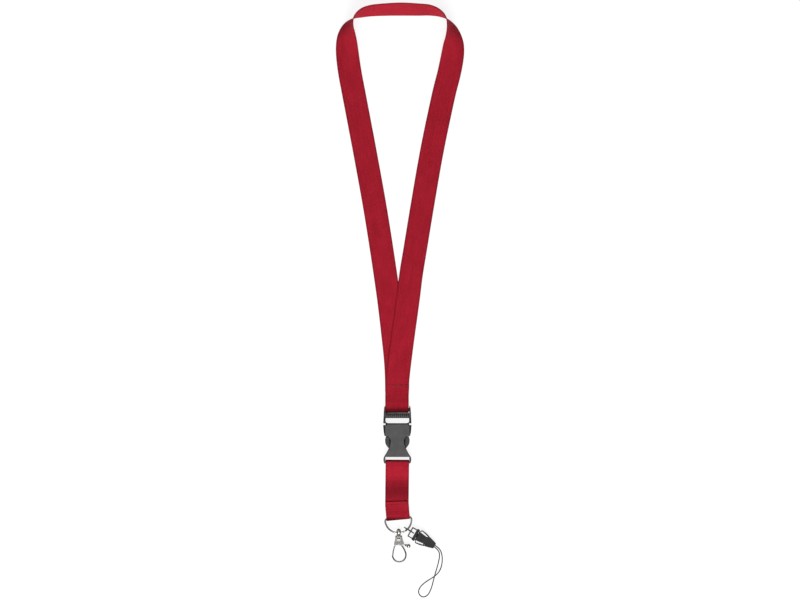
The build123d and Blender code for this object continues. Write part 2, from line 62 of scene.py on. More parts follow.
STRAP_WIDTH = 20.5 * MM
STRAP_THICK = 0.9 * MM
CORD_DIAMETER = 0.9 * MM
CORD_LENGTH = 0.116


# ---------------------------------------------------------------- camera
LENS = 300
SENSOR = 36
HEIGHT_SHARE = 0.9915  # of the picture's height, that the lanyard fills
PICTURE = 800 / 600  # width over height


def add_camera():
    """Straight above the middle of the lanyard, with the neck loop at the top of the picture."""
    middle = (cad_low + cad_high) / 2
    width = (cad_high.y - cad_low.y) / HEIGHT_SHARE * PICTURE
    data = bpy.data.cameras.new("camera")
    data.lens = LENS
    data.sensor_width = SENSOR
    data.clip_end = 50
    camera = bpy.data.objects.new("camera", data)
    camera.location = (middle.x, middle.y, width * LENS / SENSOR)
    bpy.context.scene.collection.objects.link(camera)
    bpy.context.scene.camera = camera


add_camera()


# ---------------------------------------------------------------- materials
class Graph:
    """Short calls for the nodes of one material."""

    def __init__(self, name, **constants):
        self.material = bpy.data.materials.new(name)
        self.material.use_nodes = True
        self.tree = self.material.node_tree
        self.shader = self.tree.nodes["Principled BSDF"]
        for socket, value in constants.items():
            self.shader.inputs[socket.replace("_", " ")].default_value = value

    def put(self, socket, value):
        if isinstance(value, bpy.types.NodeSocket):
            self.tree.links.new(value, socket)
        else:
            socket.default_value = value

    def node(self, kind, **settings):
        made = self.tree.nodes.new(kind)
        for name, value in settings.items():
            setattr(made, name, value)
        return made

    def math(self, operation, a, b=0.0):
        made = self.node("ShaderNodeMath", operation=operation)
        self.put(made.inputs[0], a)
        self.put(made.inputs[1], b)
        return made.outputs[0]

    def blend(self, share, a, b):
        """a at share 0 and b at share 1, for numbers."""
        made = self.node("ShaderNodeMix", data_type="FLOAT")
        self.put(made.inputs[0], share)
        self.put(made.inputs[2], a)
        self.put(made.inputs[3], b)
        return made.outputs[0]

    def tint(self, share, a, b):
        """a at share 0 and b at share 1, for colours."""
        made = self.node("ShaderNodeMix", data_type="RGBA")
        self.put(made.inputs[0], share)
        for socket, value in ((made.inputs[6], a), (made.inputs[7], b)):
            self.put(socket, value if isinstance(value, bpy.types.NodeSocket) else (*value, 1.0))
        return made.outputs[2]

    def place(self, stretch=(1.0, 1.0, 1.0), source="Object"):
        """The piece's own coordinates: metres for Object, millimetres for a ribbon's UV."""
        coordinate = self.node("ShaderNodeTexCoord")
        mapping = self.node("ShaderNodeMapping")
        mapping.inputs["Scale"].default_value = stretch
        self.put(mapping.inputs["Vector"], coordinate.outputs[source])
        return mapping.outputs["Vector"]

    def noise(self, vector, scale, detail=2.0, roughness=0.5):
        made = self.node("ShaderNodeTexNoise")
        self.put(made.inputs["Vector"], vector)
        made.inputs["Scale"].default_value = scale
        made.inputs["Detail"].default_value = detail
        made.inputs["Roughness"].default_value = roughness
        return made.outputs["Fac"]

    def spread(self, value, low, high, to_low=0.0, to_high=1.0):
        """Maps low..high to to_low..to_high, and stops at the ends."""
        made = self.node("ShaderNodeMapRange")
        self.put(made.inputs["Value"], value)
        made.inputs["From Min"].default_value = low
        made.inputs["From Max"].default_value = high
        made.inputs["To Min"].default_value = to_low
        made.inputs["To Max"].default_value = to_high
        return made.outputs["Result"]

    def facing_up(self):
        """1 where the surface faces up in the piece's own frame, 0 on its sides."""
        coordinate = self.node("ShaderNodeTexCoord")
        parts = self.node("ShaderNodeSeparateXYZ")
        self.put(parts.inputs[0], coordinate.outputs["Normal"])
        return parts.outputs[2]

    def attribute(self, name):
        made = self.node("ShaderNodeAttribute", attribute_name=name)
        return made.outputs["Fac"]

    def bump(self, height, strength, distance):
        made = self.node("ShaderNodeBump")
        made.inputs["Strength"].default_value = strength
        made.inputs["Distance"].default_value = distance
        self.put(made.inputs["Height"], height)
        return made.outputs["Normal"]

    def finish(self, **outputs):
        for socket, value in outputs.items():
            self.put(self.shader.inputs[socket.replace("_", " ")], value)
        return self.material


YARN = 0.62  # pitch of the ribbon's yarns, in mm
TWILL = 4.0  # yarns in one repeat of the twill
DENSE_EDGE = (8.7, 9.3)  # mm from the ribbon's middle: the denser selvedge weave and the painted edge shade start, and are full
YARN_REDS = (0.370, 0.0100, 0.0250), (0.550, 0.0170, 0.0400)  # darkest and lightest yarns
GAP_RED = (0.215, 0.005, 0.011)  # between the yarns
# painted shade along the ribbon's edges, where they round down
EDGE_SHADE_RED = (0.20, 0.006, 0.013)
PAINTED_SHADE_RED = (0.045, 0.0006, 0.002)  # painted shade for folds, creases, stitch dimples and shadows on the ribbon


def ribbon_material():
    """Red polyester ribbon: a fine twill with a soft sheen, a denser selvedge, faint streaks and
    painted shade.
    """
    g = Graph(
        "ribbon_weave", Roughness=0.85, Sheen_Weight=0.04, Sheen_Roughness=0.4, Specular_IOR_Level=0.10,
    )
    g.shader.inputs["Sheen Tint"].default_value = (1.0, 0.35, 0.38, 1.0)
    uv = g.place(source="UV")
    parts = g.node("ShaderNodeSeparateXYZ")
    g.put(parts.inputs[0], uv)
    across, along = parts.outputs[0], parts.outputs[1]
    columns = g.math("DIVIDE", across, YARN)
    rows = g.math("DIVIDE", along, YARN)
    warp = g.math("ABSOLUTE", g.math("SINE", g.math("MULTIPLY", columns, pi)))
    weft = g.math("ABSOLUTE", g.math("SINE", g.math("MULTIPLY", rows, pi)))
    step = g.math("ADD", g.math("FLOOR", columns), g.math("FLOOR", rows))
    over = g.math("LESS_THAN", g.math("FRACT", g.math("DIVIDE", step, TWILL)), 0.5)
    yarn = g.blend(over, g.math("MULTIPLY", weft, 0.75), warp)
    edge = g.spread(g.math("ABSOLUTE", across), *DENSE_EDGE)
    ribs = g.math("MULTIPLY", weft, g.spread(warp, 0.0, 1.0, 0.6, 1.0))
    height = g.blend(edge, yarn, ribs)
    streaks = g.noise(g.place((0.9, 0.03, 1.0), "UV"), scale=1.0, detail=3.0)
    mottle = g.noise(g.place((0.10, 0.06, 1.0), "UV"), scale=1.0, detail=3.0, roughness=0.6)
    shade = g.math("ADD", g.math("MULTIPLY", streaks, 0.45), g.math("MULTIPLY", mottle, 0.55))
    grain = g.noise(g.place(source="UV"), scale=0.8, detail=2.0, roughness=0.7)
    shade = g.math("ADD", g.math("MULTIPLY", shade, 0.6), g.math("MULTIPLY", grain, 0.4))
    shade = g.spread(shade, 0.38, 0.62)
    cloth = g.tint(shade, *YARN_REDS)
    cloth = g.tint(g.spread(height, 0.0, 0.75), GAP_RED, cloth)
    # painted shade: the selvedge band is darkened as if its rounded edge were in shade
    cloth = g.tint(g.math("MULTIPLY", edge, 0.45), cloth, EDGE_SHADE_RED)
    # painted shade: folds, creases, stitch dimples and shadows, from a per-vertex attribute
    cloth = g.tint(g.attribute("painted_shade"), cloth, PAINTED_SHADE_RED)
    return g.finish(Base_Color=cloth, Normal=g.bump(height, strength=0.7, distance=0.16 * MM))


TWIST = 1100.0  # scale of the thread's twist
THREAD_REDS = (0.150, 0.003, 0.009), (0.300, 0.007, 0.018)


def thread_material():
    """Twisted sewing thread, a little darker than the ribbon."""
    g = Graph("sewing_thread", Roughness=0.6, Sheen_Weight=0.3, Sheen_Roughness=0.4)
    twist = g.node("ShaderNodeTexWave", wave_type="BANDS", bands_direction="DIAGONAL")
    g.put(twist.inputs["Vector"], g.place())
    twist.inputs["Scale"].default_value = TWIST
    turns = twist.outputs["Fac"]
    colour = g.tint(turns, *THREAD_REDS)
    return g.finish(Base_Color=colour, Normal=g.bump(turns, strength=0.5, distance=0.06 * MM))


SCUFF_GREY = (0.16, 0.16, 0.16)
RIB_STRIPE_GREY = (0.085, 0.080, 0.082)
RIBS_FADE_IN = (22.2 * MM, 22.8 * MM)  # the ribbed bar's edges, in Y
RIBS_FADE_OUT = (26.4 * MM, 26.0 * MM)
STEP_BLUR = 0.2 * MM


def plastic_material(name, low, high, side, roughness, step=0.0, ribs=0.0):
    """Moulded acetal: fine spark-eroded grain, slow colour drift and scuffs; sides, and recesses
    below the step, are painted dark as painted shade. Ribs give the pitch of lighter stripes along X."""
    g = Graph(name, Specular_IOR_Level=0.28, IOR=1.48)
    grain = g.noise(g.place(), scale=5200.0, detail=3.0, roughness=0.65)
    drift = g.noise(g.place(), scale=190.0, detail=3.0)
    scuffs = g.noise(g.place((1.0, 0.25, 1.0)), scale=900.0, detail=4.0, roughness=0.7)
    scuffs = g.spread(scuffs, 0.56, 0.74)
    colour = g.tint(g.spread(drift, 0.3, 0.7), low, high)
    colour = g.tint(g.math("MULTIPLY", scuffs, 0.16), colour, SCUFF_GREY)
    face = g.spread(g.facing_up(), 0.72, 0.99)
    parts = g.node("ShaderNodeSeparateXYZ")
    g.put(parts.inputs[0], g.place())
    # lighter stripes at the rib pitch, across the ribbed bar's width in Y
    if ribs:
        wave = g.math("COSINE", g.math("MULTIPLY", parts.outputs[0], 2 * pi / ribs))
        zone = g.spread(wave, 0.0, 0.8)
        for fade_in_or_out in (RIBS_FADE_IN, RIBS_FADE_OUT):
            zone = g.math("MULTIPLY", zone, g.spread(parts.outputs[1], *fade_in_or_out))
        colour = g.tint(zone, colour, RIB_STRIPE_GREY)
    # painted shade: below the step, recesses take the dark side colour
    if step:
        raised = g.spread(parts.outputs[2], step - STEP_BLUR, step + STEP_BLUR)
        face = g.math("MULTIPLY", face, raised)
    # painted shade: faces that do not point up take the dark side colour
    colour = g.tint(face, side, colour)
    rough = g.math("ADD", g.math("MULTIPLY", grain, 0.5), g.math("MULTIPLY", drift, 0.5))
    rough = g.spread(rough, 0.3, 0.7, roughness - 0.07, roughness + 0.08)
    bumps = g.bump(grain, strength=0.35, distance=0.06 * MM)
    return g.finish(Base_Color=colour, Roughness=rough, Normal=bumps)


WIRE_SHADE_METAL = (0.15, 0.145, 0.14)
SHADE_BLUR = 1.0 * MM
SMOOTH = 0.02 * MM  # how uneven drawn wire is
CAST = 0.05 * MM  # the same for cast metal


def metal_material(name, low, high, roughness, bump_distance=SMOOTH, shade_below=None):
    """Plated metal: cloudy roughness, faint handling marks and a slightly uneven surface. Nearer
    the lanyard's end than the Y given last, the plating is painted darker as painted shade."""
    g = Graph(name, Metallic=1.0)
    cloud = g.noise(g.place(), scale=420.0, detail=4.0, roughness=0.6)
    marks = g.noise(g.place((1.0, 0.2, 1.0)), scale=2600.0, detail=3.0, roughness=0.6)
    marks = g.spread(marks, 0.58, 0.75)
    colour = g.tint(g.spread(cloud, 0.3, 0.7), low, high)
    if shade_below is not None:
        parts = g.node("ShaderNodeSeparateXYZ")
        g.put(parts.inputs[0], g.place())
        # painted shade: the thin wire is painted darker, for its dark reflections
        zone = g.spread(parts.outputs[1], shade_below, shade_below - SHADE_BLUR)
        colour = g.tint(zone, colour, WIRE_SHADE_METAL)
    rough = g.spread(cloud, 0.3, 0.7, roughness - 0.05, roughness + 0.05)
    rough = g.math("ADD", rough, g.math("MULTIPLY", marks, 0.12))
    bumps = g.bump(cloud, strength=0.4, distance=bump_distance)
    return g.finish(Base_Color=colour, Roughness=rough, Normal=bumps)


BRAID_PITCH = 1.4 * MM
BRAID_STRANDS = 4  # in each direction
BRAID_BLACKS = (0.004, 0.004, 0.004), (0.022, 0.022, 0.023)


def cord_material():
    """Black braided cord: two sets of strands that cross round it."""
    g = Graph(
        "braided_cord", Roughness=0.6, Sheen_Weight=0.04, Sheen_Roughness=0.5, Specular_IOR_Level=0.15,
    )
    parts = g.node("ShaderNodeSeparateXYZ")
    g.put(parts.inputs[0], g.place(source="UV"))
    along, around = parts.outputs[0], parts.outputs[1]
    turns = g.math("MULTIPLY", along, 2 * pi * CORD_LENGTH / BRAID_PITCH)
    strands = g.math("MULTIPLY", around, 2 * pi * BRAID_STRANDS)
    left = g.math("SINE", g.math("ADD", turns, strands))
    right = g.math("SINE", g.math("SUBTRACT", turns, strands))
    height = g.spread(g.math("MAXIMUM", left, right), 0.0, 1.0)
    colour = g.tint(height, *BRAID_BLACKS)
    return g.finish(Base_Color=colour, Normal=g.bump(height, strength=0.8, distance=0.12 * MM))


RIBBON = ribbon_material()
THREAD = thread_material()
# painted shade for the sides and recesses of the plastics
SIDE_SHADE_BLACK = (0.006, 0.006, 0.006)
CLIP_SIDE_SHADE_BLACK = (0.003, 0.003, 0.003)
RIB_PITCH = 1.8 * MM
SOCKET_STEP = 5.3 * MM  # the socket's flanges and floor are lower than this, and are painted as dark as the sides: painted shade
HOOK_WIRE_Y = -88.6 * MM  # the hook's thin wire starts here; below it the metal is painted darker as painted shade
SOCKET_PLASTIC = plastic_material(
    "socket_plastic", (0.072, 0.072, 0.073), (0.092, 0.092, 0.093), SIDE_SHADE_BLACK, 0.46, step=SOCKET_STEP,
)
LADDER_PLASTIC = plastic_material(
    "ladder_plastic", (0.014, 0.014, 0.015), (0.024, 0.024, 0.025), SIDE_SHADE_BLACK, 0.42, ribs=RIB_PITCH,
)
PRONG_PLASTIC = plastic_material(
    "prong_plastic", (0.045, 0.045, 0.046), (0.060, 0.060, 0.061), SIDE_SHADE_BLACK, 0.44,
)
CLIP_PLASTIC = plastic_material(
    "clip_plastic", (0.020, 0.020, 0.021), (0.030, 0.030, 0.031), CLIP_SIDE_SHADE_BLACK, 0.42,
)
NICKEL_WIRE = metal_material("nickel_wire", (0.30, 0.30, 0.29), (0.42, 0.42, 0.41), 0.20)
DARK_WIRE = metal_material("spring_wire", (0.07, 0.068, 0.065), (0.12, 0.117, 0.112), 0.32)
CAST_NICKEL = metal_material(
    "cast_nickel", (0.36, 0.35, 0.33), (0.52, 0.50, 0.47), 0.30, CAST, HOOK_WIRE_Y,
)
KNOB_NICKEL = metal_material("knob_nickel", (0.34, 0.33, 0.31), (0.48, 0.46, 0.43), 0.30, CAST)
PIN_STEEL = metal_material("pin_steel", (0.60, 0.58, 0.55), (0.74, 0.72, 0.69), 0.26)
SPRING_STEEL = metal_material("spring_steel", (0.25, 0.25, 0.26), (0.38, 0.38, 0.39), 0.30)
CORD = cord_material()


# ---------------------------------------------------------------- phone cord
# The cord's route in millimetres, from the knot in the clip round the loop and back to the knot.
CORD_ROUTE = [
    (29.42, -87.19, 2.3), (33.66, -89.45, 2.2),
    (37.8, -93.2, 0.9), (39.4, -99.4, 0.5), (38.8, -107.2, 0.6), (36.0, -113.2, 1.75),
    (30.8, -117.3, 1.75), (24.4, -121.2, 0.6), (19.6, -125.6, 0.5), (18.0, -130.4, 0.5),
    (21.2, -134.6, 0.5), (26.2, -133.4, 0.5), (29.4, -127.6, 0.5), (31.2, -121.0, 0.5),
    (33.0, -113.8, 0.5), (35.3, -106.4, 0.5), (36.9, -99.4, 0.5), (36.6, -94.7, 0.9),
    (32.95, -90.66, 2.2), (28.91, -88.06, 2.3),
]


def add_cord():
    data = bpy.data.curves.new("phone_cord_braid", "CURVE")
    data.dimensions = "3D"
    spline = data.splines.new("NURBS")
    spline.points.add(len(CORD_ROUTE) - 1)
    for point, place in zip(spline.points, CORD_ROUTE):
        point.co = (*[value * MM for value in place], 1.0)
    spline.order_u = 3
    spline.use_endpoint_u = True
    spline.resolution_u = 16
    data.bevel_depth = CORD_DIAMETER / 2
    data.bevel_resolution = 5
    data.materials.append(CORD)
    cord = bpy.data.objects.new("phone_cord_braid", data)
    bpy.context.scene.collection.objects.link(cord)
    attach(cord, "clip_plug")
    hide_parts("phone_cord")


add_cord()


# ---------------------------------------------------------------- ribbons
# The neck strap's middle, from the sewn end up the left leg, over the top and down the right leg:
# x, y, lean and lift. Lean is in degrees, 0 flat and 90 on edge. Lift is the gap under the strap,
# in millimetres like x and y.
NECK_ROUTE = [
    (-0.4, 45.0, 0, 0.95), (-0.6, 58.0, 0, 0.95), (-1.4, 72.0, 0, 0.25), (-3.0, 88.0, 0, 0.0),
    (-7.3, 124.8, 0, 0.0), (-13.3, 166.5, 0, 0.0), (-20.0, 208.3, 0, 0.0), (-28.5, 255.2, 0, 0.0),
    (-37.4, 302.0, 1, 0.0), (-41.2, 322.0, 4, 0.0), (-43.2, 336.0, 10, 0.0), (-44.1, 347.0, 22, 0.0),
    (-44.0, 356.0, 40, 0.0), (-42.3, 364.0, 64, 0.0), (-38.0, 370.6, 90, 0.0), (-31.6, 374.6, 108, 0.0),
    (-23.5, 376.9, 115, 0.0), (-10.0, 378.0, 118, 0.0), (4.0, 378.4, 120, 0.0), (18.0, 378.0, 118, 0.0),
    (28.5, 377.4, 114, 0.0), (36.9, 374.7, 104, 0.0), (43.0, 370.0, 88, 0.0), (46.9, 362.9, 67, 0.0),
    (48.8, 355.0, 47, 0.0), (49.0, 346.5, 26, 0.0), (47.8, 336.0, 11, 0.0), (45.0, 322.0, 4, 0.0),
    (40.0, 302.0, 1, 0.0), (30.2, 255.2, 0, 0.0), (22.0, 208.3, 0, 0.0), (15.7, 170.0, 0, 0.0),
    (12.1, 148.0, 0, 0.95), (9.2, 125.0, 0, 0.95), (4.4, 90.0, 0, 0.95), (1.6, 68.0, 0, 1.5),
    (0.3, 56.0, 0, 1.93), (0.0, 48.0, 0, 1.93), (-0.3, 42.0, 0, 2.75), (-0.3, 36.0, 0, 4.1),
]
STATION = 1.0 * MM  # distance between two rows of a ribbon's mesh
FINE_STATION = 0.4 * MM  # the same where a strap is sewn or folded
COLUMNS = 30  # across a ribbon's face
SELVEDGE = 0.45 * MM  # width of the rounded edge
EDGE_STEPS = 6  # round the rounded edge
ROUTE_STEPS = 10  # between two rows of the route
TABLE_GAP = 0.05  # mm, under the straps
TOP_BAR = Vector((-0.3, 29.3, 3.2))  # mm, the buckle's bar inside the neck strap
TOP_BAR_R = 1.6
TOP_PLAY = 0.30
SEWN_BELOW_Y = 56 * MM  # the neck strap is sewn, and the lower strap lies, below this
# The neck strap's end behind itself, above the buckle, as (y, z) in mm.
NECK_BACK = [(34.0, 0.85), (39.0, 0.5), (45.0, 0.47), (57.0, 0.47)]


def smooth_rows(points, steps):
    """Catmull-Rom curve through rows of numbers."""
    rows = [points[0]] + list(points) + [points[-1]]
    out = []
    for a, b, c, d in zip(rows, rows[1:], rows[2:], rows[3:]):
        for i in range(steps):
            t = i / steps
            out.append([
                0.5 * (2 * q + (r - p) * t + (2 * p - 5 * q + 4 * r - s) * t**2
                       + (3 * q - p - 3 * r + s) * t**3)
                for p, q, r, s in zip(a, b, c, d)
            ])
    out.append(list(points[-1]))
    return out


def wrap(middle, radius, yaw, start, stop, steps=28):
    """Points round a bar whose axis is X turned by yaw; 0 degrees points to +Y and 90 up."""
    turn = radians(yaw)
    out = []
    for i in range(steps + 1):
        a = radians(start + (stop - start) * i / steps)
        along = radius * cos(a)
        out.append(middle + Vector((-along * sin(turn), along * cos(turn), radius * sin(a))))
    return out


def neck_line():
    """Centre line of the neck strap and the direction across it, in metres."""
    half = STRAP_WIDTH / 2
    rows = smooth_rows(NECK_ROUTE, ROUTE_STEPS)
    middles, across = [], []
    for i, (x, y, lean, lift) in enumerate(rows):
        after, before = rows[min(i + 1, len(rows) - 1)], rows[max(i - 1, 0)]
        ahead = Vector((after[0] - before[0], after[1] - before[1], 0)).normalized()
        tip = radians(lean)
        across.append(Vector((ahead.y, -ahead.x, 0)) * cos(tip) + Vector((0, 0, sin(tip))))
        rise = half * sin(tip) + STRAP_THICK / 2 * abs(cos(tip))
        middles.append(Vector((x * MM, y * MM, (max(lift, 0) + TABLE_GAP) * MM + rise)))
    turn = wrap(TOP_BAR * MM, (TOP_BAR_R + TOP_PLAY) * MM + STRAP_THICK / 2, 0, 90, 270)
    back = [Vector((TOP_BAR.x, y, z)) * MM for y, z in NECK_BACK]
    middles += turn + back
    across += [Vector((-1, 0, 0))] * (len(turn) + len(back))
    return middles, across


def evenly(middles, across):
    """The same line with evenly spaced points, closer together near the sewing and the bars."""
    walked = [0.0]
    for a, b in zip(middles, middles[1:]):
        walked.append(walked[-1] + (b - a).length)
    out, sides, along = [], [], []
    k = 0
    at = 0.0
    while at < walked[-1]:
        while k < len(walked) - 2 and walked[k + 1] < at:
            k += 1
        share = (at - walked[k]) / max(walked[k + 1] - walked[k], 1e-9)
        out.append(middles[k].lerp(middles[k + 1], share))
        sides.append(across[k].lerp(across[k + 1], share).normalized())
        along.append(at)
        at += FINE_STATION if out[-1].y < SEWN_BELOW_Y else STATION
    return out + [middles[-1]], sides + [across[-1]], along + [walked[-1]]


def section():
    """A ribbon's outline as (across, height) pairs in metres: flat faces and round edges."""
    half, thick = STRAP_WIDTH / 2, STRAP_THICK / 2
    flat = half - SELVEDGE
    face = [(-flat + 2 * flat * i / COLUMNS, thick) for i in range(COLUMNS + 1)]
    round_edge = []
    for i in range(1, EDGE_STEPS):
        a = pi / 2 - pi * i / EDGE_STEPS
        round_edge.append((flat + SELVEDGE * cos(a), thick * sin(a)))
    right = face + round_edge
    return right + [(-x, -z) for x, z in right]


def ribbon_mesh(name, middles, across, relief, painted_shade):
    """Closed mesh of a ribbon. relief(place, along, across, height) moves the surface along its
    normal, and the last function gives, from 0 to 1, how much painted shade darkens it."""
    middles, across, along = evenly(middles, across)
    outline = section()
    vertices, faces, marks, coordinates = [], [], [], []
    for i, (middle, side, at) in enumerate(zip(middles, across, along)):
        ahead = middles[min(i + 1, len(middles) - 1)] - middles[max(i - 1, 0)]
        up = side.cross(ahead).normalized()
        for u, w in outline:
            place = middle + side * u + up * w
            vertices.append(place + up * relief(place, at, u, w))
            marks.append(painted_shade(place, w))
            coordinates.append((u / MM, at / MM))
    count = len(outline)
    for i in range(len(middles) - 1):
        for j in range(count):
            a, b = i * count + j, i * count + (j + 1) % count
            faces.append((a, b, b + count, a + count))
    last = (len(middles) - 1) * count
    faces.append(tuple(range(count)))
    faces.append(tuple(last + j for j in reversed(range(count))))
    mesh = bpy.data.meshes.new(name)
    mesh.from_pydata(vertices, [], faces)
    layer = mesh.uv_layers.new(name="weave")
    for loop in mesh.loops:
        layer.data[loop.index].uv = coordinates[loop.vertex_index]
    # painted shade per vertex, from 0 to 1
    shade = mesh.attributes.new("painted_shade", "FLOAT", "POINT")
    shade.data.foreach_set("value", marks)
    mesh.polygons.foreach_set("use_smooth", [True] * len(mesh.polygons))
    mesh.materials.append(RIBBON)
    mesh.validate()
    mesh.update()
    piece = bpy.data.objects.new(name, mesh)
    bpy.context.scene.collection.objects.link(piece)
    return piece


STITCH_Y = 50.9 * MM
STITCH_X = 1.0  # mm, the middle of the row
STITCH_PITCH = 3.0
STITCH_COUNT = 6
STITCH_MARKS = [
    (STITCH_X + (i - (STITCH_COUNT - 1) / 2) * STITCH_PITCH) * MM for i in range(STITCH_COUNT)
]
TOP_LAYER = 2.0 * MM  # above this height a strap's face is its uppermost


def fade(distance, reach):
    """1 at no distance, falling smoothly to 0 at the reach."""
    share = min(abs(distance) / reach, 1.0)
    return (1 - share * share) ** 2


def stitch_pull(place):
    """How strongly the neck strap's stitches pull its face in, from 0 to 1."""
    if place.z < TOP_LAYER:
        return 0.0
    pull_y = fade(place.y - STITCH_Y, 1.5 * MM)
    return max(fade(place.x - x, 1.0 * MM) * pull_y for x in STITCH_MARKS)


def shadow(place, y, reach, depth):
    """How far a ribbon is darkened by a line across it, up to depth. y and reach are in mm."""
    return depth * fade(place.y - y * MM, reach * MM)


# Each line of painted shade is (y, reach, depth).
TOP_FOLD_SHADE = (27.2, 5.6, 1.0)  # painted shade where the neck strap turns down behind the ribbed bar
# painted shade along the hem, on the strap's top layer
HEM_SHADE = (50.9, 3.0, 0.08)
# painted shade round each stitch dimple
SEAM_SHADE = 0.95
DIMPLE = 0.28  # mm, under each stitch
SLOW_WAVE, QUICK_WAVE = (0.05, 17.0), (0.06, 11.0)  # height and length scale in mm


def add_neck_ribbon():
    middles, across = neck_line()

    def relief(place, at, u, w):
        edge = u / (STRAP_WIDTH / 2)
        wave = QUICK_WAVE[0] * sin(at / MM / QUICK_WAVE[1]) * edge
        wave += SLOW_WAVE[0] * sin(at / MM / SLOW_WAVE[1] + 1.0) * edge**2
        dimple = DIMPLE * stitch_pull(place) if w > 0 else 0.0
        return (wave - dimple) * MM

    def painted_shade(place, w):
        # painted shade: the fold, the stitch dimples and the hem are darkened
        fold = shadow(place, *TOP_FOLD_SHADE)
        seam = SEAM_SHADE * stitch_pull(place) if w > 0 else 0.0
        hem = shadow(place, *HEM_SHADE) if place.z > TOP_LAYER else 0.0
        return min(max(fold, seam, hem), 1.0)

    piece = ribbon_mesh("neck_ribbon", middles, across, relief, painted_shade)
    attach(piece, "neck")
    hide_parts("neck_strap")


add_neck_ribbon()

# The lower strap, in millimetres and degrees.
LEAN_X = -0.4
FLAP_START_Y = -54.0
END_BAR = Vector((0, -16.5, 3.2))
END_BAR_R = 1.15
RING_BAR = Vector((0.65, -65.1, 1.9))
RING_WIRE_R = 0.8
RING_YAW = 5.4
TURN_START_Y = -46.0
TURN_SPAN = 12.0
STRAP_PLAY = 0.15


def lower_x(y):
    """Sideways place of the lower strap's middle: it leans left, then swings right to the D-ring."""
    if y > FLAP_START_Y:
        return LEAN_X * (END_BAR.y - y) / (END_BAR.y - FLAP_START_Y)
    return LEAN_X + (FLAP_START_Y - y) * (RING_BAR.x - LEAN_X) / (FLAP_START_Y - RING_BAR.y)


def lower_yaw(y):
    """The lower strap turns about Z near its lower end, in degrees."""
    share = min(max((TURN_START_Y - y) / TURN_SPAN, 0.0), 1.0)
    return RING_YAW * share * share * (3 - 2 * share)


# Its middle as (y, z) rows, in the order of its length: flap, round the D-ring, back, round the
# female half's bar, and front.
FLAP = [(-50.9, 2.75), (-53.0, 2.5), (-56.0, 2.37), (-59.0, 2.5), (-62.0, 3.1)]
BACK = [(-60.0, 0.47), (-52.0, 0.47), (-44.0, 0.47), (-34.0, 0.47), (-26.0, 0.75), (-20.5, 1.2)]
FRONT = [
    (-20.5, 4.6), (-24.5, 3.5), (-28.5, 2.1), (-32.0, 1.5), (-38.0, 1.5), (-45.0, 1.75),
    (-50.0, 1.75), (-54.0, 1.45), (-58.5, 1.42),
]
ROUND_RING = 1  # the place of the turn round the D-ring among the spans


def lower_line():
    """Centre line of the lower strap and the direction across it, in metres."""
    around = STRAP_PLAY * MM + STRAP_THICK / 2
    spans = [
        [Vector((lower_x(y), y, z)) * MM for y, z in FLAP],
        wrap(RING_BAR * MM, RING_WIRE_R * MM + around, RING_YAW, 90, 270),
        [Vector((lower_x(y), y, z)) * MM for y, z in BACK],
        wrap(END_BAR * MM, END_BAR_R * MM + around, 0, -90, 90),
        [Vector((lower_x(y), y, z)) * MM for y, z in FRONT],
    ]
    middles, across = [], []
    for number, span in enumerate(spans):
        for point in span:
            yaw = radians(RING_YAW if number == ROUND_RING else lower_yaw(point.y / MM))
            middles.append(point)
            across.append(Vector((-cos(yaw), -sin(yaw), 0)))
    return middles, across


FLAP_TOP_Y = -50.5 * MM  # the flap's face lies below this in Y, and above the next in Z
FLAP_MID_Z = 2.35 * MM
UNDERSIDE_Z = 1.0 * MM  # the lower strap's back layer lies below this
# Painted shade, each as (y, reach, depth): in the folds round the D-ring and the female half's bar,
# where the front layer sinks, and at and under the flap's edge.
RING_FOLD_SHADE = (-67.0, 3.4, 1.0)
END_FOLD_SHADE = (-14.2, 3.0, 0.75)
HOLLOW_SHADE = (-42.0, 14.0, 0.45)  # painted shade where the front layer sinks between buckle and flap
FLAP_EDGE_SHADE = (-50.9, 0.7, 0.25)
FLAP_SHADOW = (-50.9, 1.2, 0.12)  # painted shadow on the layer under the flap's edge
EDGE_WAVE = (0.05, 5.0)  # height and length scale in mm


def add_lower_ribbon():
    middles, across = lower_line()

    def relief(place, at, u, w):
        edge = u / (STRAP_WIDTH / 2)
        return EDGE_WAVE[0] * MM * sin(at / MM / EDGE_WAVE[1]) * edge

    def painted_shade(place, w):
        # painted shade
        low_fold = shadow(place, *RING_FOLD_SHADE)
        if place.z > FLAP_MID_Z and place.y < FLAP_TOP_Y:
            return max(shadow(place, *FLAP_EDGE_SHADE), low_fold)
        if place.z < UNDERSIDE_Z:
            return low_fold
        return max(low_fold, *[shadow(place, *line) for line in (END_FOLD_SHADE, HOLLOW_SHADE, FLAP_SHADOW)])

    piece = ribbon_mesh("lower_ribbon", middles, across, relief, painted_shade)
    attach(piece, "lower_loop")
    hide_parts("lower_strap")


add_lower_ribbon()


# ---------------------------------------------------------------- sewing
THREAD_R = 0.17 * MM
STITCH_SHAPE = ((0, -0.30), (0.1, 0.10), (0.5, 0.22), (0.9, 0.10), (1, -0.30))  # share, rise in mm


def add_threads(name, strands, body, replaced):
    """Short visible stitches: each strand dips into the strap at both ends."""
    data = bpy.data.curves.new(name, "CURVE")
    data.dimensions = "3D"
    for start, end in strands:
        span = end - start
        spline = data.splines.new("NURBS")
        spline.points.add(len(STITCH_SHAPE) - 1)
        for point, (share, rise) in zip(spline.points, STITCH_SHAPE):
            place = start + span * share
            point.co = (place.x, place.y, place.z + rise * MM, 1.0)
        spline.order_u = 3
        spline.use_endpoint_u = True
        spline.resolution_u = 6
    data.bevel_depth = THREAD_R
    data.bevel_resolution = 3
    data.materials.append(THREAD)
    threads = bpy.data.objects.new(name, data)
    bpy.context.scene.collection.objects.link(threads)
    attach(threads, body)
    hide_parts(replaced)


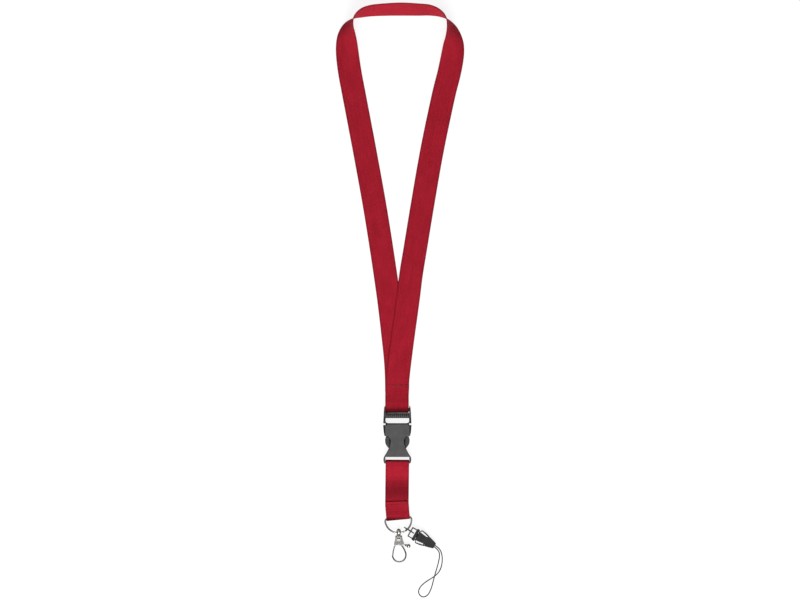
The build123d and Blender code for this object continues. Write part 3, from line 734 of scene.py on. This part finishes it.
NECK_THREAD_Z = 2.72 * MM
NECK_THREAD_GAP = 0.32  # mm, each side of a mark
NECK_THREAD_HALF = 1.1 * MM
LOWER_THREAD_Z = 2.93 * MM
LOWER_THREAD_HALF = 0.95 * MM
LOWER_COUNT = 7
LOWER_PITCH = 2.5
LOWER_SLOPE = 0.052  # rise of the row, per unit to the right


def sew():
    """A pair of threads at each of the neck strap's marks, and one running row on the lower strap."""
    pairs = []
    for x in STITCH_MARKS:
        for side in (-NECK_THREAD_GAP, NECK_THREAD_GAP):
            at = x + side * MM
            start = Vector((at, STITCH_Y - NECK_THREAD_HALF, NECK_THREAD_Z))
            pairs.append((start, Vector((at, STITCH_Y + NECK_THREAD_HALF, NECK_THREAD_Z))))
    add_threads("neck_sewing", pairs, "neck", "neck_stitches")
    row = []
    low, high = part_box("lower_stitches")
    middle = (Vector(low) + Vector(high)) / 2
    for i in range(LOWER_COUNT):
        from_middle = (i - LOWER_COUNT // 2) * LOWER_PITCH * MM
        x = middle.x + from_middle
        y = middle.y + from_middle * LOWER_SLOPE
        start = Vector((x - LOWER_THREAD_HALF, y, LOWER_THREAD_Z))
        row.append((start, Vector((x + LOWER_THREAD_HALF, y, LOWER_THREAD_Z))))
    add_threads("lower_sewing", row, "lower_loop", "lower_stitches")


sew()


# ---------------------------------------------------------------- CAD nodes
def dress(material, *names):
    """Gives CAD nodes a better material."""
    for name in names:
        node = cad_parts[name]
        node.data.materials.clear()
        node.data.materials.append(material)


dress(SOCKET_PLASTIC, "female_buckle")
dress(LADDER_PLASTIC, "male_buckle")
dress(PRONG_PLASTIC, "left_prong", "right_prong")
dress(CLIP_PLASTIC, "phone_clip_socket", "phone_clip_plug", "left_bow", "right_bow")
dress(NICKEL_WIRE, "d_ring")
dress(DARK_WIRE, "split_ring")
dress(CAST_NICKEL, "hook_body")
dress(KNOB_NICKEL, "hook_eye", "gate")
dress(PIN_STEEL, "gate_pin")
dress(SPRING_STEEL, "gate_spring")
dress(CORD, "cord_knot")


# ---------------------------------------------------------------- table and light
FLOOR_GLOW = 0.86  # with the lights, this brings the table just to white
FLOOR_GREYS = (0.19, 0.19, 0.19), (0.20, 0.20, 0.20)
FLOOR_HALF = 3.0


def add_floor():
    """A matt, evenly glowing table top, which takes only faint shadows."""
    g = Graph("table", Roughness=0.9, Specular_IOR_Level=0.1, Emission_Strength=FLOOR_GLOW)
    g.shader.inputs["Emission Color"].default_value = (1.0, 1.0, 1.0, 1.0)
    cloud = g.noise(g.place(), 3.0)
    material = g.finish(Base_Color=g.tint(cloud, *FLOOR_GREYS))
    mesh = bpy.data.meshes.new("table")
    signs = ((-1, -1), (1, -1), (1, 1), (-1, 1))
    mesh.from_pydata([(x * FLOOR_HALF, y * FLOOR_HALF, 0) for x, y in signs], [], [(0, 1, 2, 3)])
    mesh.materials.append(material)
    floor = bpy.data.objects.new("table", mesh)
    bpy.context.scene.collection.objects.link(floor)


def add_softbox(name, place, target, size, power):
    data = bpy.data.lights.new(name, "AREA")
    data.shape = "RECTANGLE"
    data.size, data.size_y = size
    data.energy = power
    lamp = bpy.data.objects.new(name, data)
    lamp.location = place
    lamp.rotation_euler = (Vector(target) - Vector(place)).to_track_quat("-Z", "Y").to_euler()
    bpy.context.scene.collection.objects.link(lamp)


SKY_RAMP = (("From Min", 0.15), ("From Max", 0.98), ("To Min", 0.02), ("To Max", 0.46))
LIT_POINT = (0.0, 0.12, 0.0)


def add_light():
    """A soft sky that darkens towards the horizon, a large key light low in the picture, and one
    weak fill from the upper left."""
    world = bpy.data.worlds.new("studio")
    world.use_nodes = True
    tree = world.node_tree
    back = tree.nodes["Background"]
    back.inputs["Color"].default_value = (1.0, 1.0, 1.0, 1.0)
    coordinate = tree.nodes.new("ShaderNodeTexCoord")
    parts = tree.nodes.new("ShaderNodeSeparateXYZ")
    ramp = tree.nodes.new("ShaderNodeMapRange")
    ramp.interpolation_type = "SMOOTHSTEP"
    for socket, value in SKY_RAMP:
        ramp.inputs[socket].default_value = value
    tree.links.new(coordinate.outputs["Generated"], parts.inputs[0])
    tree.links.new(parts.outputs[2], ramp.inputs["Value"])
    tree.links.new(ramp.outputs["Result"], back.inputs["Strength"])
    bpy.context.scene.world = world
    add_softbox("key", (0.1, -1.7, 1.5), LIT_POINT, size=(1.5, 0.8), power=54.0)
    add_softbox("top_fill", (-0.9, 0.3, 1.6), LIT_POINT, size=(0.5, 1.2), power=4.0)
    bpy.context.scene.view_settings.view_transform = "Standard"


add_floor()
add_light()
